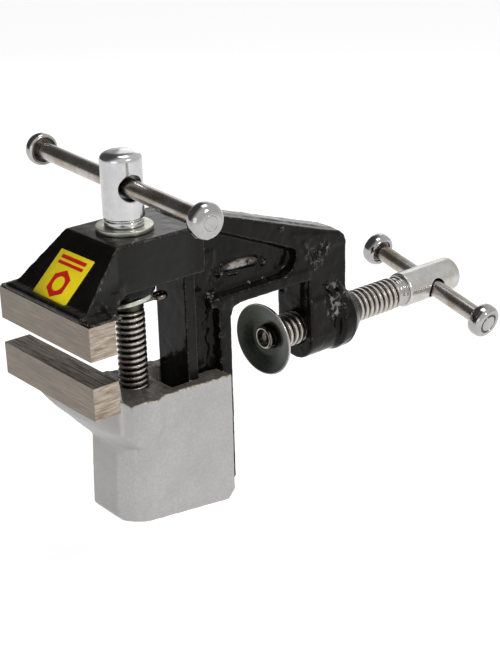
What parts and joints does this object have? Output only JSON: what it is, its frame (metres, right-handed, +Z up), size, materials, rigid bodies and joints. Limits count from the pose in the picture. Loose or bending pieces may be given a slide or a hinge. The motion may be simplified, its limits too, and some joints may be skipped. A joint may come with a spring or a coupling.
{
  "type": "bench vise",
  "caption": "Small clamp-on bench vise with steel jaw plates, screw-driven moving jaw, C clamp with dished pad, and sliding tommy bars.",
  "frame": {"origin": "point where the clamp screw axis meets the bench face of the column", "axes": "+X along the jaw width, +Y out of the bench face toward the clamp pad, +Z up the jaw screw toward its head"},
  "size_m": [0.1088, 0.184, 0.1262],
  "materials": {
    "black_enamel": "gloss black enamel over rough casting, chipped at edges",
    "silver_paint": "satin aluminium paint over fine cast grain",
    "ground_steel": "ground along its length, sawn at the ends",
    "pin_steel": "plain drawn steel",
    "yellow_label": "printed film label",
    "zinc_washer": "zinc plated",
    "bright_chrome": "polished plating",
    "dark_steel": "dark polished pressed steel"
  },
  "bodies": {
    "frame": {"fixed_jaw_body": "black_enamel", "fixed_jaw_plate": "ground_steel", "fixed_plate_dowels": "pin_steel", "name_label": "yellow_label", "thrust_washer": "zinc_washer"},
    "jaw_screw": {"vise_screw": "bright_chrome", "retaining_washer": "zinc_washer", "split_pin": "pin_steel"},
    "jaw_bar": {"vise_bar": "bright_chrome", "vise_knob_left": "bright_chrome", "vise_knob_right": "bright_chrome"},
    "slide_jaw": {"moving_jaw": "silver_paint", "moving_jaw_plate": "ground_steel", "moving_plate_dowels": "pin_steel"},
    "pad": {"clamp_pad": "dark_steel"},
    "bench_screw": {"clamp_screw": "bright_chrome"},
    "bench_bar": {"clamp_bar": "bright_chrome", "clamp_knob_far": "bright_chrome", "clamp_knob_near": "bright_chrome"}
  },
  "joints": [
    {"name": "vise_screw_turn", "type": "hinge", "parent": "frame", "child": "jaw_screw", "pos_m": [0, -0.0353, 0], "axis": [0, 0, 1], "range_deg": [-1460, 4325]},
    {"name": "jaw_slide", "type": "slide", "parent": "frame", "child": "slide_jaw", "axis": [0, 0, 1], "range_m": [-0.024, 0.0081]},
    {"name": "vise_bar_slide", "type": "slide", "parent": "jaw_screw", "child": "jaw_bar", "axis": [0.9945, -0.1045, 0], "range_m": [-0.037, 0.0449]},
    {"name": "clamp_feed", "type": "slide", "parent": "frame", "child": "pad", "axis": [0, 1, 0], "range_m": [-0.019, 0.011]},
    {"name": "clamp_screw_turn", "type": "hinge", "parent": "pad", "child": "bench_screw", "pos_m": [0, 0, 0], "axis": [0, 1, 0], "range_deg": [-2740, 1588]},
    {"name": "clamp_bar_slide", "type": "slide", "parent": "bench_screw", "child": "bench_bar", "axis": [0.9668, 0, -0.2554], "range_m": [-0.02, 0.0164]}
  ],
  "couplings": [
    {"joint": "vise_screw_turn", "follows": "jaw_slide", "rad_per_m": -3141.6},
    {"joint": "clamp_screw_turn", "follows": "clamp_feed", "rad_per_m": 2513.3}
  ]
}
